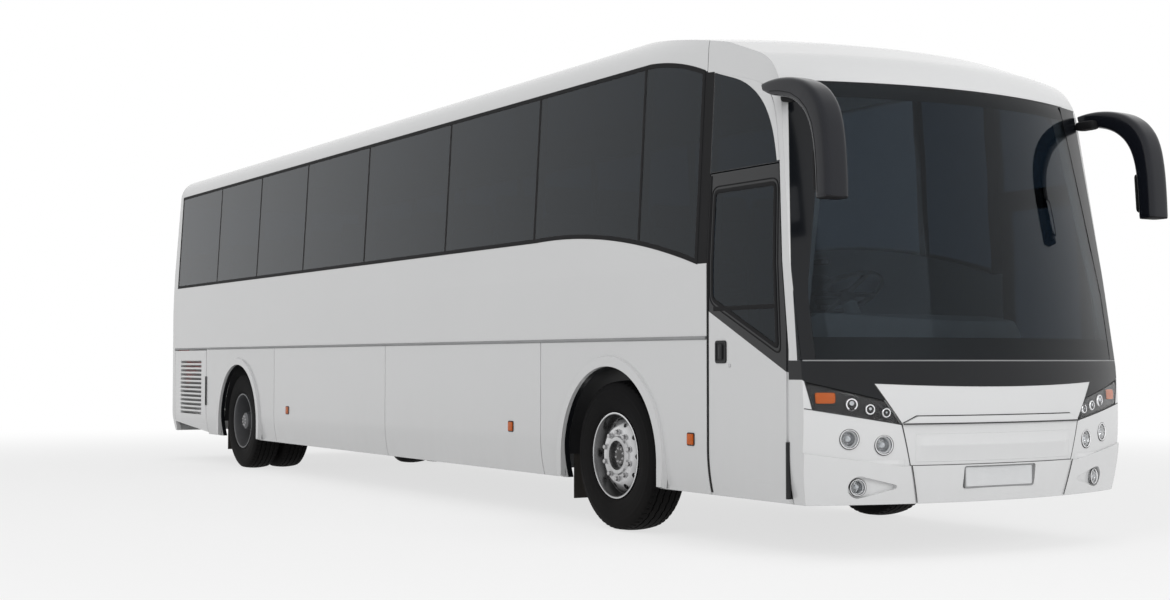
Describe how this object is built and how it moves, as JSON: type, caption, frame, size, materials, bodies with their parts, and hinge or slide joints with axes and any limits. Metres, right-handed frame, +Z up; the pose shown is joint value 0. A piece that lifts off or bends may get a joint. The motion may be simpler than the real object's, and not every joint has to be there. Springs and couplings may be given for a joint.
{
  "type": "coach bus",
  "caption": "Two-axle touring coach with a tall glazed saloon, luggage hold with lifting side doors, hinged crew door, radiator doors and engine lid, steered front wheels.",
  "frame": {"origin": "ground level, midway between the foremost point of the mirrors and the tail, on the centre plane", "axes": "+X forward, +Y to the bus's left, +Z up"},
  "size_m": [12.4544, 2.701, 3.3299],
  "materials": {
    "body_white": "gloss white paint",
    "front_black": "gloss black",
    "tinted_glass": "dark tinted",
    "screen_glass": "clear, slightly green",
    "black_trim": "satin black",
    "lamp_clear": "clear lens over bright reflector",
    "lamp_red": "red lens",
    "steel_frame": "dark chassis paint",
    "axle_iron": "dark cast iron",
    "spring_rubber": "black rubber",
    "tyre_black": "black tyre",
    "wheel_bright": "polished aluminium",
    "wheel_grey": "grey painted steel",
    "floor_grey": "grey floor",
    "seat_fabric": "dark blue fabric",
    "dash_grey": "light grey"
  },
  "bodies": {
    "coach": {"air_springs": "spring_rubber", "belt_rails": "black_trim", "bumper_centre": "body_white", "bumper_corners": "body_white", "chassis_frame": "steel_frame", "dashboard": "dash_grey", "door_hinges": "black_trim", "engine_block": "axle_iron", "entrance_door": "body_white", "floors": "floor_grey", "front_apron": "front_black", "front_axle": "axle_iron", "front_cap": "body_white", "front_flap": "body_white", "headlamps": "front_black", "left_side_panel": "body_white", "left_skirt": "body_white", "left_windows": "tinted_glass", "mirrors": "black_trim", "mud_flaps": "spring_rubber", "rear_axle": "axle_iron", "rear_bumper": "body_white", "rear_panel": "body_white", "rear_window": "tinted_glass", "right_side_panel": "body_white", "right_skirt": "body_white", "right_windows": "tinted_glass", "roof_panel": "body_white", "round_lamps": "lamp_clear", "seats": "seat_fabric", "tail_lamps": "lamp_red", "wheel_housings": "black_trim", "window_pillars": "black_trim", "windscreen": "screen_glass"},
    "right_knuckle": {"right_knuckle": "axle_iron"},
    "left_knuckle": {"left_knuckle": "axle_iron"},
    "right_front_wheel": {"right_front_tyre": "tyre_black", "right_front_wheel": "wheel_bright"},
    "left_front_wheel": {"left_front_tyre": "tyre_black", "left_front_wheel": "wheel_bright"},
    "right_rear_wheels": {"right_rear_tyres": "tyre_black", "right_rear_wheels": "wheel_grey"},
    "left_rear_wheels": {"left_rear_tyres": "tyre_black", "left_rear_wheels": "wheel_grey"},
    "steering_wheel": {"steering_wheel": "black_trim"},
    "crew_door": {"crew_door": "body_white", "crew_door_glass": "tinted_glass"},
    "right_front_luggage_door": {"right_front_luggage_door": "body_white"},
    "right_rear_luggage_door": {"right_rear_luggage_door": "body_white"},
    "left_front_luggage_door": {"left_front_luggage_door": "body_white"},
    "left_rear_luggage_door": {"left_rear_luggage_door": "body_white"},
    "right_radiator_door": {"right_radiator_door": "body_white"},
    "left_radiator_door": {"left_radiator_door": "body_white"},
    "engine_lid": {"engine_lid": "body_white"}
  },
  "joints": [
    {"name": "steer_right", "type": "hinge", "parent": "coach", "child": "right_knuckle", "pos_m": [3.775, -0.91, 0.5], "axis": [0, 0, 1], "range_deg": [-42, 42]},
    {"name": "steer_left", "type": "hinge", "parent": "coach", "child": "left_knuckle", "pos_m": [3.775, 0.91, 0.5], "axis": [0, 0, 1], "range_deg": [-42, 42]},
    {"name": "steering_wheel_turn", "type": "hinge", "parent": "coach", "child": "steering_wheel", "pos_m": [5.465, -0.6, 1.5], "axis": [-0.5, 0, 0.866], "range_deg": [-756, 756]},
    {"name": "right_front_wheel_spin", "type": "hinge", "parent": "right_knuckle", "child": "right_front_wheel", "pos_m": [3.775, -1.07, 0.5], "axis": [0, 1, 0], "continuous": true},
    {"name": "left_front_wheel_spin", "type": "hinge", "parent": "left_knuckle", "child": "left_front_wheel", "pos_m": [3.775, 1.07, 0.5], "axis": [0, 1, 0], "continuous": true},
    {"name": "right_rear_wheels_spin", "type": "hinge", "parent": "coach", "child": "right_rear_wheels", "pos_m": [-3.775, -1.07, 0.5], "axis": [0, 1, 0], "continuous": true},
    {"name": "left_rear_wheels_spin", "type": "hinge", "parent": "coach", "child": "left_rear_wheels", "pos_m": [-3.775, 1.07, 0.5], "axis": [0, 1, 0], "continuous": true},
    {"name": "crew_door_swing", "type": "hinge", "parent": "coach", "child": "crew_door", "pos_m": [5.729, -1.25, 1.2], "axis": [0, 0, 1], "range_deg": [0, 75]},
    {"name": "right_front_luggage_door_lift", "type": "hinge", "parent": "coach", "child": "right_front_luggage_door", "pos_m": [1.46, -1.25, 1.268], "axis": [-1, 0, 0], "range_deg": [0, 80]},
    {"name": "right_rear_luggage_door_lift", "type": "hinge", "parent": "coach", "child": "right_rear_luggage_door", "pos_m": [-1.3, -1.25, 1.268], "axis": [-1, 0, 0], "range_deg": [0, 80]},
    {"name": "right_radiator_door_swing", "type": "hinge", "parent": "coach", "child": "right_radiator_door", "pos_m": [-4.871, -1.25, 0.8], "axis": [0, 0, 1], "range_deg": [0, 80]},
    {"name": "left_front_luggage_door_lift", "type": "hinge", "parent": "coach", "child": "left_front_luggage_door", "pos_m": [1.46, 1.25, 1.268], "axis": [1, 0, 0], "range_deg": [0, 80]},
    {"name": "left_rear_luggage_door_lift", "type": "hinge", "parent": "coach", "child": "left_rear_luggage_door", "pos_m": [-1.3, 1.25, 1.268], "axis": [1, 0, 0], "range_deg": [0, 80]},
    {"name": "left_radiator_door_swing", "type": "hinge", "parent": "coach", "child": "left_radiator_door", "pos_m": [-4.871, 1.25, 0.8], "axis": [0, 0, -1], "range_deg": [0, 80]},
    {"name": "engine_lid_lift", "type": "hinge", "parent": "coach", "child": "engine_lid", "pos_m": [-6.213, 0, 1.564], "axis": [0, 1, 0], "range_deg": [0, 75]}
  ],
  "couplings": [
    {"joint": "steer_left", "follows": "steer_right", "ratio": 1},
    {"joint": "steering_wheel_turn", "follows": "steer_right", "ratio": 18}
  ]
}
